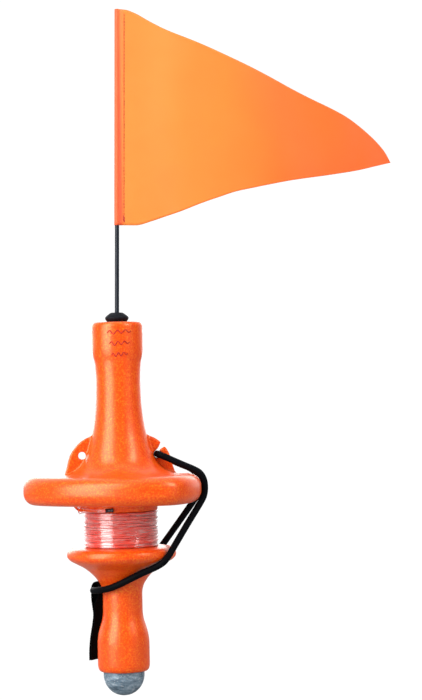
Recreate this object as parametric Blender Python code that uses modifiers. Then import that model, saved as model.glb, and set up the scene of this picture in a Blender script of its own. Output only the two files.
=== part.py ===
"""A bobber float: a speckled moulded float with two grips, line on its barrel and a pennant on a rod.

Metres, +Z up. The origin is on the float's axis at the middle of the buoyancy flange, the waterline.
+X points to the pennant, and the two ears lie along X.
"""

import math

import bmesh
import bpy
from mathutils import Matrix, Vector

MM = 0.001
GAP = 0.3 * MM

# Float
SIDES = 36
TOP = 149.9 * MM
BOTTOM = -163.0 * MM
RIM_RADIUS = 79.6 * MM
RIM_LOBE = 7.3 * MM
RIM_ROUND = 10.6 * MM
RIM_HALF_FLAT = 2.0 * MM
WALL = 3.5 * MM
CAVITY_ROUND = RIM_ROUND - WALL
BARREL_RADIUS = 28.0 * MM
BARREL_TOP = -19.6 * MM
BARREL_BOTTOM = -51.3 * MM

# Ears and lug
EAR_THICKNESS = 6.0 * MM
EYE_X = 33.9 * MM
EYE_Z = 30.8 * MM
EYE_RADIUS = 3.5 * MM
LUG_THICKNESS = 4.4 * MM
LUG_HOLE = (-37.5 * MM, -15.4 * MM)
LUG_HOLE_RADIUS = 1.4 * MM

# Rod, bush and pennant
POLE_LEAN = math.radians(1.25)
POLE_RADIUS = 2.0 * MM
POLE_BORE_RADIUS = 2.35 * MM
POLE_FOOT = -98.0 * MM
POLE_HOLE_FOOT = -102.0 * MM
POLE_HOLE_HEAD = 98.0 * MM
BUSH_SHANK_RADIUS = 6.0 * MM
BUSH_SHANK_DEPTH = 10.0 * MM
BUSH_START_RADIUS = 1.2 * MM
BUSH_HEAD = 158.4 * MM
SLEEVE_FOOT = 87.5 * MM
SLEEVE_LENGTH = 195.3 * MM
SLEEVE_OUTER = 3.1 * MM
SLEEVE_INNER = 2.3 * MM
SLEEVE_TOP_THICKNESS = 1.0 * MM
CLOTH_THICKNESS = 1.0 * MM
SEAM_X = 6.2 * MM
SEAM_RADIUS = 0.4 * MM

# Lead
LEAD_RADIUS = 18.3 * MM
LEAD_SOCKET_TOP = -131.0 * MM
LEAD_DOME_CENTRE = -166.3 * MM

# Line
WINDING_RADIUS = 33.0 * MM
LINE_RADIUS = 0.45 * MM
CRIMP_LENGTH = 6.8 * MM
CRIMP_RADIUS = 1.7 * MM
CRIMP_CENTRE = Vector((-12.9, -32.7, -17.3)) * MM
CRIMP_AXIS = Vector((0.92, -0.37, 0.08))

# Shock cord and its clamp
CORD_RADIUS = 3.0 * MM
CORD_STEP = 5.6 * MM
CLAMP_RADIUS = 4.4 * MM
CLAMP_LENGTH = 13.0 * MM
CLAMP_CENTRE = Vector((11.0, 32.6, -75.6)) * MM
CLAMP_AXIS = Vector((0.87, 0.24, 0.43))

# Pull tab
TAB_AZIMUTH = math.radians(146.0)
TAB_HINGE_RADIUS = 23.5 * MM
TAB_HINGE_HEIGHT = -90.3 * MM
TAB_WIDTH = 16.0 * MM
TAB_EYE_RADIUS = CORD_RADIUS + 0.5 * MM
WEBBING = 1.3 * MM
TAB_FOOT = -63.5 * MM
THREAD_RADIUS = 0.3 * MM


def new_collection(name):
    collection = bpy.data.collections.new(name)
    bpy.context.scene.collection.children.link(collection)
    return collection


def new_material(name, colour, roughness, metallic=0.0):
    material = bpy.data.materials.new(name)
    material.use_nodes = True
    shader = material.node_tree.nodes["Principled BSDF"]
    shader.inputs["Base Color"].default_value = (*colour, 1.0)
    shader.inputs["Roughness"].default_value = roughness
    shader.inputs["Metallic"].default_value = metallic
    return material


def scaled(points):
    return [tuple(value * MM for value in point) for point in points]


def shade(obj, angle=40.0):
    obj.data.shade_smooth()
    obj.data.set_sharp_from_angle(angle=math.radians(angle))


def mesh_object(name, bm, collection, material=None):
    mesh = bpy.data.meshes.new(name)
    bm.to_mesh(mesh)
    bm.free()
    obj = bpy.data.objects.new(name, mesh)
    collection.objects.link(obj)
    if material:
        mesh.materials.append(material)
    shade(obj)
    return obj


def make_cutter(obj):
    obj.hide_render = True
    obj.display_type = "WIRE"
    return obj


def boolean(obj, other, operation):
    modifier = obj.modifiers.new(other.name, "BOOLEAN")
    modifier.operation = operation
    modifier.solver = "EXACT"
    modifier.object = other


def ring_points(height, radius, lobe):
    """One level of the float: a circle, or where lobe is above 0 a triangle with round corners."""
    points = []
    for i in range(SIDES):
        angle = 2 * math.pi * i / SIDES
        swing = 3 * (angle - math.pi)
        reach = radius + lobe * math.cos(swing)
        slope = -3 * lobe * math.sin(swing)
        x = reach * math.cos(angle) - slope * math.sin(angle)
        y = reach * math.sin(angle) + slope * math.cos(angle)
        points.append((x, y, height))
    return points


def loft(name, stations, closed, collection, material=None):
    """A skin over the levels given as (height, radius, lobe). Closed joins the last level to the first."""
    bm = bmesh.new()
    rings = [[bm.verts.new(p) for p in ring_points(*station)] for station in stations]
    pairs = list(zip(rings, rings[1:]))
    if closed:
        pairs.append((rings[-1], rings[0]))
    for upper, lower in pairs:
        for i in range(SIDES):
            j = (i + 1) % SIDES
            bm.faces.new((upper[i], upper[j], lower[j], lower[i]))
    bmesh.ops.remove_doubles(bm, verts=bm.verts, dist=0.001 * MM)
    bmesh.ops.recalc_face_normals(bm, faces=bm.faces)
    return mesh_object(name, bm, collection, material)


def rim_stations(round_radius, top_down):
    """The flange's rounded edge, all of it at the same distance from the lobed outline."""
    centre = RIM_RADIUS - RIM_ROUND
    stations = []
    for side in (1, -1):
        for step in range(4):
            angle = math.radians(90 - 30 * step if side == 1 else 30 * step)
            height = side * (RIM_HALF_FLAT + round_radius * math.sin(angle))
            stations.append((height, centre + round_radius * math.cos(angle), RIM_LOBE))
    return stations if top_down else stations[::-1]


def outer_stations():
    upper = scaled([
        (149.9, 19.8, 0), (148.7, 22.1, 0), (146.1, 22.9, 0), (127, 22.8, 0), (121, 22.2, 0),
        (114, 20.8, 0), (98, 19.9, 0), (80, 20.3, 0), (68, 21.3, 0), (59, 22.5, 0),
        (50, 24.3, 0), (42, 26.5, 0), (35, 28.5, 0), (29, 30.6, 0), (24, 33.3, 0),
        (19.4, 37.4, 0), (15.6, 43.6, 0), (13.2, 53, 1.6),
    ])
    lower = scaled([
        (-12.6, 52, 2), (-12.6, 33, 0), (-19.6, 33, 0), (-19.6, 28, 0), (-51.3, 28, 0),
        (-51.6, 41, 0), (-53, 46, 0), (-55.8, 48.6, 0), (-59, 49, 0), (-62.4, 47, 0),
        (-66.2, 40.6, 0), (-69.9, 33.8, 0), (-73.6, 29.1, 0), (-77.5, 25, 0), (-82, 21.6, 0),
        (-86.5, 19.1, 0), (-93, 17.8, 0), (-109, 17.8, 0), (-116, 18.6, 0), (-122, 20.4, 0),
        (-130, 22.5, 0), (-138, 23.3, 0), (-158, 23.3, 0), (-161.6, 22.2, 0), (-163, 19.8, 0),
    ])
    return upper + rim_stations(RIM_ROUND, True) + lower


def cavity_stations():
    """The inside of the moulding, from the lead's socket up to the bush's bore."""
    lower = scaled([
        (-131, 18.7, 0), (-126, 17.6, 0), (-118, 15.1, 0), (-110, 14.3, 0), (-92, 14.3, 0),
        (-86, 15.6, 0), (-78, 20.4, 0), (-70, 27.8, 0), (-63.6, 38.5, 0), (-58.6, 43.5, 0),
        (-56, 41, 0), (-54.8, 32, 0), (-52.5, 24.5, 0), (-17.6, 24.5, 0), (-12, 27.5, 0),
        (-9.1, 36, 0), (-9.1, 52, 2),
    ])
    upper = scaled([
        (9.5, 54, 2), (11.4, 43, 0), (15, 35.8, 0), (21, 30.6, 0), (30, 26.2, 0),
        (44, 22.1, 0), (62, 18.7, 0), (84, 16.7, 0), (100, 16.5, 0), (115, 17.6, 0),
        (124, 19.2, 0), (147, 19.2, 0), (147, 6.3, 0),
    ])
    return lower + rim_stations(CAVITY_ROUND, False) + upper


def inset(stations, amount):
    """The same open profile, moved in towards its own inside by amount at every corner."""
    moved = []
    for i, (height, radius, lobe) in enumerate(stations):
        here = Vector((radius, height))
        before = Vector(stations[max(i - 1, 0)][1::-1])
        after = Vector(stations[min(i + 1, len(stations) - 1)][1::-1])
        first = (here - before) if i > 0 else (after - here)
        second = (after - here) if i < len(stations) - 1 else (here - before)
        normal_1 = Vector((-first.y, first.x)).normalized()
        normal_2 = Vector((-second.y, second.x)).normalized()
        mitre = (normal_1 + normal_2).normalized()
        here += mitre * amount / max(mitre.dot(normal_1), 0.4)
        moved.append((here.y, here.x, lobe))
    return moved


def curve_object(name, collection, dimensions="3D"):
    curve = bpy.data.curves.new(name, "CURVE")
    curve.dimensions = dimensions
    obj = bpy.data.objects.new(name, curve)
    collection.objects.link(obj)
    return obj


def add_poly(curve, points, cyclic):
    spline = curve.splines.new("POLY")
    spline.points.add(len(points) - 1)
    for target, point in zip(spline.points, points):
        target.co = (*point, 0.0, 1.0) if len(point) == 2 else (*point, 1.0)
    spline.use_cyclic_u = cyclic


def circle_points(centre, radius, count):
    angles = [2 * math.pi * i / count for i in range(count)]
    return [(centre[0] + radius * math.cos(a), centre[1] + radius * math.sin(a)) for a in angles]


def as_mesh(obj, collection, material=None):
    """The curve as a closed mesh in the curve's place. The curve is removed."""
    bpy.context.view_layer.update()
    evaluated = obj.evaluated_get(bpy.context.evaluated_depsgraph_get())
    mesh = bpy.data.meshes.new_from_object(evaluated)
    name, matrix, parent = obj.name, obj.matrix_world.copy(), obj.parent
    bpy.data.objects.remove(obj)
    bm = bmesh.new()
    bm.from_mesh(mesh)
    bmesh.ops.remove_doubles(bm, verts=bm.verts, dist=0.001 * MM)
    bmesh.ops.recalc_face_normals(bm, faces=bm.faces)
    bpy.data.meshes.remove(mesh)
    made = mesh_object(name, bm, collection, material)
    made.parent = parent
    made.matrix_world = matrix
    return made


def plate(name, outlines, thickness, collection, material=None, place=None):
    """A flat piece from closed outlines in the XZ plane, the first one outside and the rest holes."""
    obj = curve_object(name, collection, "2D")
    obj.data.fill_mode = "BOTH"
    obj.data.extrude = thickness / 2
    for outline in outlines:
        add_poly(obj.data, outline, True)
    upright = Matrix.Rotation(math.radians(90), 4, "X")
    obj.matrix_world = (place or Matrix()) @ upright
    return as_mesh(obj, collection, material)


def tube(name, points, radius, collection, material):
    obj = curve_object(name, collection)
    obj.data.bevel_depth = radius
    obj.data.bevel_resolution = 2
    obj.data.use_fill_caps = True
    obj.data.materials.append(material)
    add_poly(obj.data, points, False)
    return obj


def smooth_route(points, step):
    """Points about step apart on a smooth curve through the route's own points."""
    points = [Vector(p) for p in points]
    padded = [2 * points[0] - points[1], *points, 2 * points[-1] - points[-2]]
    fine = [points[0]]
    for a, b, c, d in zip(padded, padded[1:], padded[2:], padded[3:]):
        for i in range(1, 17):
            t = i / 16
            place = b * 2 + (c - a) * t + (2 * a - 5 * b + 4 * c - d) * t**2
            fine.append((place + (3 * b - a - 3 * c + d) * t**3) / 2)
    lengths = [0.0]
    for a, b in zip(fine, fine[1:]):
        lengths.append(lengths[-1] + (b - a).length)
    count = round(lengths[-1] / step)
    route, at = [], 0
    for i in range(count + 1):
        wanted = lengths[-1] * i / count
        while at < len(fine) - 2 and lengths[at + 1] < wanted:
            at += 1
        share = (wanted - lengths[at]) / (lengths[at + 1] - lengths[at])
        route.append(fine[at].lerp(fine[at + 1], share))
    return route


def rod(name, centre, axis, radius, length, sides, collection, material=None):
    bm = bmesh.new()
    bmesh.ops.create_cone(
        bm, cap_ends=True, segments=sides, radius1=radius, radius2=radius, depth=length
    )
    obj = mesh_object(name, bm, collection, material)
    obj.location = centre
    obj.rotation_mode = "QUATERNION"
    obj.rotation_quaternion = axis.to_track_quat("Z", "Y")
    return obj


def turned(name, profile, sides, collection, material):
    """A profile of (radius, height), top to bottom on its outer side, turned about Z."""
    mesh = bpy.data.meshes.new(name)
    edges = [(i, i + 1) for i in range(len(profile) - 1)]
    if profile[0][0] > 0:
        edges.append((len(profile) - 1, 0))
    mesh.from_pydata([(r, 0.0, z) for r, z in profile], edges, [])
    mesh.materials.append(material)
    obj = bpy.data.objects.new(name, mesh)
    collection.objects.link(obj)
    screw = obj.modifiers.new("turn", "SCREW")
    screw.steps = sides
    screw.render_steps = sides
    screw.use_merge_vertices = True
    screw.merge_threshold = 0.00001
    screw.use_smooth_shade = True
    return obj


def ear_outline(side):
    """The ear's edge from the flare down to the flange, then back up inside the float's wall."""
    edge = scaled([
        (23.6, 49.5), (27.2, 47.4), (31.3, 45.7), (34.6, 43.5), (37.8, 40.8), (40.6, 37.7),
        (43.2, 34.1), (45.2, 30), (46.6, 25.6), (47.7, 20.5), (49.4, 15.6), (50, 12.6),
    ])
    root = scaled([(43, 13.4), (37.4, 17), (32.2, 23), (28.4, 31), (25.2, 40), (22.6, 51)])
    return [(side * x, z) for x, z in edge + root]


def build_float(parts, cutters):
    material = new_material("speckled_orange", (0.93, 0.11, 0.02), 0.38)
    stations = outer_stations() + [(BOTTOM, LEAD_RADIUS + 0.4 * MM, 0.0)]
    stations += cavity_stations() + [(TOP, BUSH_SHANK_RADIUS + GAP, 0.0)]
    shell = loft("float_shell", stations, True, parts, material)
    eye = circle_points((EYE_X, EYE_Z), EYE_RADIUS, 16)
    left_eye = [(-x, z) for x, z in eye]
    left = plate("left_ear", [ear_outline(-1), left_eye], EAR_THICKNESS, cutters)
    right = plate("right_ear", [ear_outline(1), eye], EAR_THICKNESS, cutters)
    mouth = scaled([(31.6, 33), (34.7, 36), (36.9, 40.6), (39, 46), (47, 41.5), (39.9, 37.4), (33.6, 32.6)])
    slot = plate("hook_slot", [mouth], 2 * EAR_THICKNESS, cutters)
    boolean(right, slot, "DIFFERENCE")
    lug_edge = scaled([
        (-43.4, -11.4), (-42.9, -13.8), (-41, -16.6), (-38.6, -18.6), (-35.6, -19.8),
        (-33.4, -19.4), (-30, -17.8), (-30, -11.4),
    ])
    hole = circle_points(LUG_HOLE, LUG_HOLE_RADIUS, 12)
    lug = plate("tie_off_lug", [lug_edge, hole], LUG_THICKNESS, cutters)
    for piece in (left, right, lug):
        boolean(shell, piece, "UNION")
    for cutter in (left, right, slot, lug):
        make_cutter(cutter)


def build_core(parts):
    material = new_material("closed_cell_foam", (0.85, 0.78, 0.6), 0.9)
    skin = inset(cavity_stations(), GAP)
    recess = (TOP - BUSH_SHANK_DEPTH - GAP, BUSH_SHANK_RADIUS + GAP, 0.0)
    stations = [(skin[0][0], 0.0, 0.0), *skin, recess, (recess[0], 0.0, 0.0)]
    return loft("foam_core", stations, False, parts, material)


def build_rod_and_bush(parts, cutters, axis, core):
    rubber = new_material("black_rubber", (0.02, 0.02, 0.025), 0.6)
    fibre = new_material("black_rod", (0.02, 0.03, 0.04), 0.35)
    bush = turned("pole_bush", [(5.2 * MM, BUSH_HEAD)] + scaled([
        (6.8, 157.6), (9.2, 155.7), (10.4, 154.1), (9.9, 152), (8.6, 150.3),
    ]) + [
        (BUSH_SHANK_RADIUS, TOP + GAP), (BUSH_SHANK_RADIUS, TOP - BUSH_SHANK_DEPTH),
        (BUSH_START_RADIUS, TOP - BUSH_SHANK_DEPTH), (BUSH_START_RADIUS, BUSH_HEAD),
    ], 24, parts, rubber)
    length = POLE_HOLE_HEAD - POLE_HOLE_FOOT
    middle = (0, 0, (POLE_HOLE_HEAD + POLE_HOLE_FOOT) / 2)
    bore = rod("pole_bore", middle, Vector((0, 0, 1)), POLE_BORE_RADIUS, length, 16, cutters)
    bore.parent = axis
    make_cutter(bore)
    boolean(core, bore, "DIFFERENCE")
    boolean(bush, bore, "DIFFERENCE")
    head = SLEEVE_FOOT + SLEEVE_LENGTH - SLEEVE_TOP_THICKNESS - GAP
    bm = bmesh.new()
    bmesh.ops.create_cone(
        bm, cap_ends=True, segments=16, radius1=POLE_RADIUS, radius2=POLE_RADIUS,
        depth=head - POLE_FOOT, matrix=Matrix.Translation((0, 0, (head + POLE_FOOT) / 2)),
    )
    pole = mesh_object("flag_pole", bm, parts, fibre)
    pole.parent = axis


def build_flag(parts, cutters, axis):
    cloth = new_material("orange_cloth", (1.0, 0.28, 0.05), 0.6)
    thread = new_material("red_thread", (0.85, 0.02, 0.02), 0.6)
    low, high = SLEEVE_FOOT, SLEEVE_FOOT + SLEEVE_LENGTH
    flag = turned("flag", [
        (0.0, high), (SLEEVE_OUTER, high), (SLEEVE_OUTER, low), (SLEEVE_INNER, low),
        (SLEEVE_INNER, high - SLEEVE_TOP_THICKNESS), (0.0, high - SLEEVE_TOP_THICKNESS),
    ], 16, parts, cloth)
    flag.parent = axis
    edge = scaled([
        (2.7, 0.1), (19, 0.2), (30, 3.4), (57.6, 12.9), (94, 26.7), (108, 31.4), (140, 38.3), (195.5, 48),
        (238, 57), (253, 61), (247.8, 69.7), (238.4, 79.7), (221.7, 93.2), (177, 117), (140, 135.6),
        (108, 150.5), (75.8, 164.4), (30.2, 184.3), (14, 193), (2.7, 195.2),
    ])
    lifted = [(x, z + low) for x, z in edge]
    panel = plate("flag_panel", [lifted], CLOTH_THICKNESS, cutters)
    panel.parent = axis
    panel.matrix_parent_inverse = Matrix()
    panel.matrix_basis = Matrix.Rotation(math.radians(90), 4, "X")
    make_cutter(panel)
    boolean(flag, panel, "UNION")
    for name, side in (("flag_seam_front", -1), ("flag_seam_back", 1)):
        y = side * (CLOTH_THICKNESS / 2 + GAP + SEAM_RADIUS)
        ends = [(SEAM_X, y, low + 2 * MM), (SEAM_X, y, high - 2 * MM)]
        seam = tube(name, ends, SEAM_RADIUS, parts, thread)
        seam.parent = axis


def build_lead(parts):
    material = new_material("cast_lead", (0.12, 0.15, 0.18), 0.45, 0.8)
    top = LEAD_SOCKET_TOP - GAP
    profile = [(0.0, top), (LEAD_RADIUS - 1 * MM, top), (LEAD_RADIUS, top - 1 * MM)]
    for step in range(8):
        angle = math.radians(90 * step / 7)
        height = LEAD_DOME_CENTRE - LEAD_RADIUS * math.sin(angle)
        profile.append((LEAD_RADIUS * math.cos(angle) if step < 7 else 0.0, height))
    turned("lead_ballast", profile, 32, parts, material)


def build_line(parts):
    material = new_material("clear_monofilament", (0.9, 0.55, 0.48), 0.15)
    metal = new_material("black_crimp", (0.03, 0.03, 0.03), 0.4, 0.6)
    inner = BARREL_RADIUS + GAP
    high, low = BARREL_TOP - GAP, BARREL_BOTTOM + GAP
    soft = 0.8 * MM
    turned("line_winding", [
        (inner, high), (WINDING_RADIUS - soft, high), (WINDING_RADIUS, high - soft),
        (WINDING_RADIUS, low + soft), (WINDING_RADIUS - soft, low), (inner, low),
    ], SIDES, parts, material)
    rod("line_crimp", CRIMP_CENTRE, CRIMP_AXIS, CRIMP_RADIUS, CRIMP_LENGTH, 12, parts, metal)
    face = CRIMP_CENTRE - CRIMP_AXIS.normalized() * (CRIMP_LENGTH / 2 + GAP)
    out = scaled([
        (-23.4, -26.4, -16.9), (-29.4, -19, -16.5), (-33.8, -11.4, -16.1), (-36.6, -5.6, -15.7),
        (-37.5, -2, -15.4), (-37.5, 2, -15.4), (-37.8, 4, -16.8), (-37.8, 3.8, -19),
        (-37.2, 2, -20.8), (-36.9, 0, -21.2), (-36.5, -2.6, -20.7), (-35.2, -7.6, -20),
        (-31.8, -15.2, -19.3), (-25.2, -24.6, -18.6),
    ])
    lift = Vector((0, 0, 0.75 * MM))
    tube("line_leader", smooth_route([face + lift, *out, face - lift], 2.4 * MM), LINE_RADIUS, parts, material)


def cord_route():
    """From the clamp behind the neck, round it through the tab, up the front, the eye, and down the back."""
    axis = CLAMP_AXIS.normalized()
    near = CLAMP_CENTRE - axis * (CLAMP_LENGTH / 2 + GAP)
    far = CLAMP_CENTRE + axis * (CLAMP_LENGTH / 2 + GAP)
    route = scaled([
        (-4.2, 28.4, -84.2), (-9.4, 25.8, -88.2), (-14, 21.3, -90.3), (-16.7, 17.2, -90.3),
        (-19.5, 13.1, -90.3), (-22.2, 9.1, -90.3), (-25, 5, -90.3), (-26.2, 0.2, -90.2),
        (-24.6, -5.4, -89.8), (-19.8, -12.8, -88.8), (-12.4, -19.6, -86.7), (-5.4, -24.3, -83.6), (2, -27.7, -79.9),
        (9.4, -30.6, -76.1), (16.4, -32.6, -72.7), (22.7, -34.5, -70), (28.5, -36.2, -67.2),
        (33.9, -38, -63.5), (38.9, -35.9, -57.8), (42.7, -33.8, -52.2), (56, -26.4, -32.8),
        (69.8, -18.9, -13.2), (73.4, -17, -6.6), (74.5, -16.1, 0.6), (73.6, -15.5, 7.6),
        (70.3, -14.8, 13.2), (64.6, -13.8, 16.8), (57.5, -12.6, 20), (49.2, -11.2, 23.8),
        (41.6, -9.2, 27.4), (36.8, -8, 29.6), (34.2, -5, 30.7), (33.9, 0, 30.8),
        (34.2, 5, 30.7), (36.8, 8.2, 29.6), (41.6, 10, 27.4), (49.2, 13, 23.8),
        (57.5, 16.8, 20), (64.6, 19.2, 17), (70.1, 21.2, 13.2), (73.2, 22.8, 7.6),
        (74.2, 23.9, 0.6), (73.2, 25, -6.6), (69.4, 26.6, -13.6), (56, 30.6, -32.6),
        (42.4, 34.8, -51.4), (37.4, 38, -58.4), (31.4, 40.4, -64.6),
    ])
    straight = axis * CORD_RADIUS * 1.6
    return smooth_route([near, near - straight, *route, far + straight, far], CORD_STEP)


def build_cord(parts):
    black = new_material("black_shock_cord", (0.012, 0.014, 0.018), 0.65)
    steel = new_material("black_clamp", (0.04, 0.04, 0.045), 0.35, 0.7)
    tube("shock_cord", cord_route(), CORD_RADIUS, parts, black)
    rod("cord_clamp", CLAMP_CENTRE, CLAMP_AXIS, CLAMP_RADIUS, CLAMP_LENGTH, 16, parts, steel)


def tab_outline():
    """The folded strap seen from its edge: round the cord, then both layers down to the blunt end."""
    outer = TAB_EYE_RADIUS + WEBBING
    arc = [math.radians(a) for a in range(-40, 221, 20)]
    loop = [(outer * math.cos(a), outer * math.sin(a)) for a in arc]
    inner_edge = scaled([(-2.6, -8), (1.2, -16), (2.5, -30), (3.8, -44)])
    outer_edge = scaled([(6.8, -44), (5.6, -30), (4.6, -18), (4.2, -8)])
    foot = [(4.8 * MM, TAB_FOOT), (7.8 * MM, TAB_FOOT)]
    return loop + inner_edge + foot + outer_edge


def build_tab(parts):
    webbing = new_material("black_webbing", (0.012, 0.012, 0.014), 0.8)
    thread = new_material("black_thread", (0.03, 0.03, 0.03), 0.6)
    pivot = bpy.data.objects.new("tab_pivot", None)
    parts.objects.link(pivot)
    pivot.location = (
        TAB_HINGE_RADIUS * math.cos(TAB_AZIMUTH), TAB_HINGE_RADIUS * math.sin(TAB_AZIMUTH), TAB_HINGE_HEIGHT
    )
    pivot.rotation_euler = (0, 0, TAB_AZIMUTH)
    bpy.context.view_layer.update()
    eye = circle_points((0.0, 0.0), TAB_EYE_RADIUS, 20)
    tab = plate("pull_tab", [tab_outline(), eye], TAB_WIDTH, parts, webbing, pivot.matrix_world)
    tab.parent = pivot
    tab.matrix_parent_inverse = pivot.matrix_world.inverted()
    half = TAB_WIDTH / 2 - 2 * MM
    x = 4.2 * MM + GAP + THREAD_RADIUS
    slope = 0.04
    rows = [(-half, -11 * MM), (half, -11 * MM), (half, -17 * MM), (-half, -17 * MM), (-half, -12.5 * MM)]
    points = [(x + slope * (-z - 8 * MM), y, z) for y, z in rows]
    stitch = tube("tab_stitching", points, THREAD_RADIUS, parts, thread)
    stitch.parent = pivot


def main():
    for obj in list(bpy.data.objects):
        bpy.data.objects.remove(obj)
    parts = new_collection("bobber_float")
    cutters = new_collection("cutters")
    axis = bpy.data.objects.new("pole_axis", None)
    parts.objects.link(axis)
    axis.location = (0, 0, TOP)
    axis.rotation_euler = (0, POLE_LEAN, 0)
    build_float(parts, cutters)
    core = build_core(parts)
    build_rod_and_bush(parts, cutters, axis, core)
    build_flag(parts, cutters, axis)
    build_lead(parts)
    build_line(parts)
    build_cord(parts)
    build_tab(parts)
    bpy.context.view_layer.update()


main()
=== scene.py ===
import math
import random

import bmesh
import bpy
import numpy as np
from mathutils import Matrix, Vector


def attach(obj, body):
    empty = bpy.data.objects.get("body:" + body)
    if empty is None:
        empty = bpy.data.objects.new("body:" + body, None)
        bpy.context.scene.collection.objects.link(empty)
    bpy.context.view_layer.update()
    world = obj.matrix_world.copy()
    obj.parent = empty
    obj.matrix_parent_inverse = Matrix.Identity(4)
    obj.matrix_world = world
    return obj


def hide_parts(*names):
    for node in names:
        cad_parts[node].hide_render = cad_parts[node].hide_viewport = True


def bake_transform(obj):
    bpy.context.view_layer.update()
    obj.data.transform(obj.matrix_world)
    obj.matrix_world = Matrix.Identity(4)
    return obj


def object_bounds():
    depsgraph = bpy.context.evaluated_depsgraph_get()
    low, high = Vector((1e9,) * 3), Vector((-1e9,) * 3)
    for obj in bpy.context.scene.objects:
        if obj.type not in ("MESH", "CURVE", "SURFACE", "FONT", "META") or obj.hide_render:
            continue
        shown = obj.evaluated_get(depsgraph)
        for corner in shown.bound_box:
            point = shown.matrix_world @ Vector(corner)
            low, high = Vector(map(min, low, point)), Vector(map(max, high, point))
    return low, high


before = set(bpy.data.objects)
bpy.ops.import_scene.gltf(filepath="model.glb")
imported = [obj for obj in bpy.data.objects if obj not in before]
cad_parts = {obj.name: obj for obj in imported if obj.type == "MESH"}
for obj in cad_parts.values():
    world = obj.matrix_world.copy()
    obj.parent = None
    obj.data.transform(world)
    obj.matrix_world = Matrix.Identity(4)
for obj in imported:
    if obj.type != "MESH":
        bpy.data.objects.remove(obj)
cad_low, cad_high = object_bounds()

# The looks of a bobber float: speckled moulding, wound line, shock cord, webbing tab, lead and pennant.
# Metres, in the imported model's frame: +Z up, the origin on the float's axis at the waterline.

MM = 0.001
TWO_PI = 2 * math.pi

# Float, repeated from the design
TOP = 149.9 * MM
RIM_RADIUS = 79.6 * MM
RIM_LOBE = 7.3 * MM
RIM_ROUND = 10.6 * MM
RIM_HALF_FLAT = 2.0 * MM
EAR_THICKNESS = 6.0 * MM
EYE = (33.9 * MM, 30.8 * MM)
EYE_RADIUS = 3.5 * MM
LUG_THICKNESS = 4.4 * MM
LUG_HOLE = (-37.5 * MM, -15.4 * MM)
LUG_HOLE_RADIUS = 1.5 * MM
BUSH_HOLE = 6.2 * MM
BUSH_SEAT = 141.0 * MM
BODY_SIDES = 240
BODY_VOXEL = 0.8 * MM

# Lead foot
LEAD_RADIUS = 18.3 * MM
LEAD_TOP = -131.5 * MM
LEAD_CENTRE = -166.3 * MM

# Rod and pennant, in the leaning rod's own frame
POLE_LEAN = math.radians(1.25)
POLE_RADIUS = 2.0 * MM
ROD_FOOT = -98.0 * MM
SLEEVE_FOOT = 87.5 * MM
SLEEVE_LENGTH = 195.3 * MM
SEAM_X = 6.2 * MM
SEAM_PITCH = 3.0 * MM
FLAG_REACH = 253.0 * MM
CLOTH = 0.35 * MM
FRONT_Y = -0.05 * MM
LAP_Y = 0.45 * MM

# Line
LINE_DIAMETER = 0.92 * MM
BARREL_RADIUS = 28.0 * MM
WINDING_RADIUS = 33.0 * MM
WINDING_TOP = -20.2 * MM
WINDING_FOOT = -50.7 * MM
CLOSE_LAYERS = 5
TURNS = 31
CROSSING_TURNS = (6, 7, 5, 6, 7)

# Cord, clamp and tab
CORD_RADIUS = 3.0 * MM
CLAMP_CENTRE = Vector((11.0, 32.6, -75.6)) * MM
CLAMP_AXIS = Vector((0.87, 0.24, 0.43)).normalized()
CLAMP_LENGTH = 13.0 * MM
TAB_AZIMUTH = math.radians(146.0)
TAB_HINGE_RADIUS = 23.5 * MM
TAB_HINGE_HEIGHT = -90.3 * MM
TAB_WIDTH = 16.0 * MM
STRAP = 1.55 * MM
FOLD_RISE = 1.6
CRIMP_CENTRE = Vector((-12.9, -32.7, -17.3)) * MM
CRIMP_AXIS = Vector((0.92, -0.37, 0.08)).normalized()
CRIMP_LENGTH = 6.8 * MM

POLE_FRAME = Matrix.Translation((0, 0, TOP)) @ Matrix.Rotation(POLE_LEAN, 4, "Y")
TAB_FRAME = Matrix.Translation((
    TAB_HINGE_RADIUS * math.cos(TAB_AZIMUTH), TAB_HINGE_RADIUS * math.sin(TAB_AZIMUTH), TAB_HINGE_HEIGHT,
)) @ Matrix.Rotation(TAB_AZIMUTH, 4, "Z")


# ---------------------------------------------------------------- camera, light and floor

CAMERA_DISTANCE = 1.9
CAMERA_AZIMUTH = math.radians(-5.0)
CAMERA_HEIGHT = 85 * MM
AIM_RIGHT = 84.2 * MM
AIM_HEIGHT = 123.2 * MM
VIEW_HEIGHT = 631.0 * MM
SENSOR = 36.0
ROOM_FRONT = 0.1
ROOM_BACK = 1.3
PAPER_WHITE = 1.05


def make_camera():
    """The camera, rolled so that the leaning rod stands upright in the picture."""
    right = Vector((math.cos(CAMERA_AZIMUTH), math.sin(CAMERA_AZIMUTH), 0))
    away = Vector((math.sin(CAMERA_AZIMUTH), -math.cos(CAMERA_AZIMUTH), 0))
    data = bpy.data.cameras.new("camera")
    camera = bpy.data.objects.new("camera", data)
    bpy.context.scene.collection.objects.link(camera)
    place = away * CAMERA_DISTANCE + Vector((0, 0, CAMERA_HEIGHT))
    aim = right * AIM_RIGHT + Vector((0, 0, AIM_HEIGHT))
    back = (place - aim).normalized()
    lean_up = Vector((math.sin(POLE_LEAN), 0, math.cos(POLE_LEAN)))
    side = lean_up.cross(back).normalized()
    up = back.cross(side)
    camera.matrix_world = Matrix((
        (side.x, up.x, back.x, place.x), (side.y, up.y, back.y, place.y),
        (side.z, up.z, back.z, place.z), (0, 0, 0, 1),
    ))
    data.sensor_width = SENSOR
    data.lens = SENSOR / 2 * (place - aim).length / (VIEW_HEIGHT / 2)
    data.clip_start = 0.05
    data.clip_end = 50
    bpy.context.scene.camera = camera


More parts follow.
